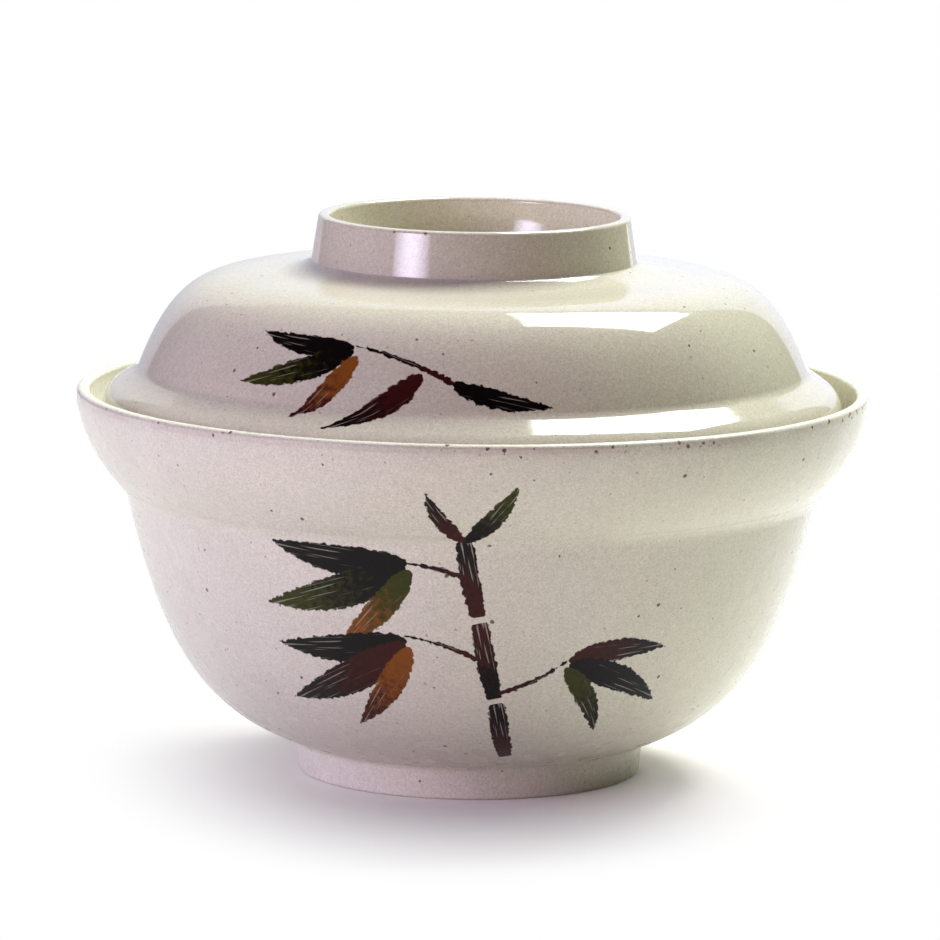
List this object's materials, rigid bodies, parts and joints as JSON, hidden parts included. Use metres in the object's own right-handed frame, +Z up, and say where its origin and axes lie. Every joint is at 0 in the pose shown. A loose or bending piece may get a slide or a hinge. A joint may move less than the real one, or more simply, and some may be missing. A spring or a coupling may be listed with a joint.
{
  "type": "miso bowl with lid",
  "caption": "Footed soup bowl with a flared collar, and a domed lid that sits inside the rim and lifts off by its ring grip.",
  "frame": {"origin": "centre of the foot ring's underside, on the surface that the bowl stands on", "axes": "+Z up along the axis that both pieces are turned about, -Y towards the viewer, +X to the viewer's right"},
  "size_m": [0.12, 0.12, 0.0851],
  "materials": {
    "bowl_melamine": "satin, speckled",
    "lid_melamine": "gloss, speckled"
  },
  "bodies": {
    "bowl": {"bowl": "bowl_melamine"},
    "lid": {"lid": "lid_melamine"}
  },
  "joints": [
    {"name": "lid_lift", "type": "slide", "parent": "bowl", "child": "lid", "axis": [0, 0, 1], "range_m": [0, 0.06]}
  ]
}
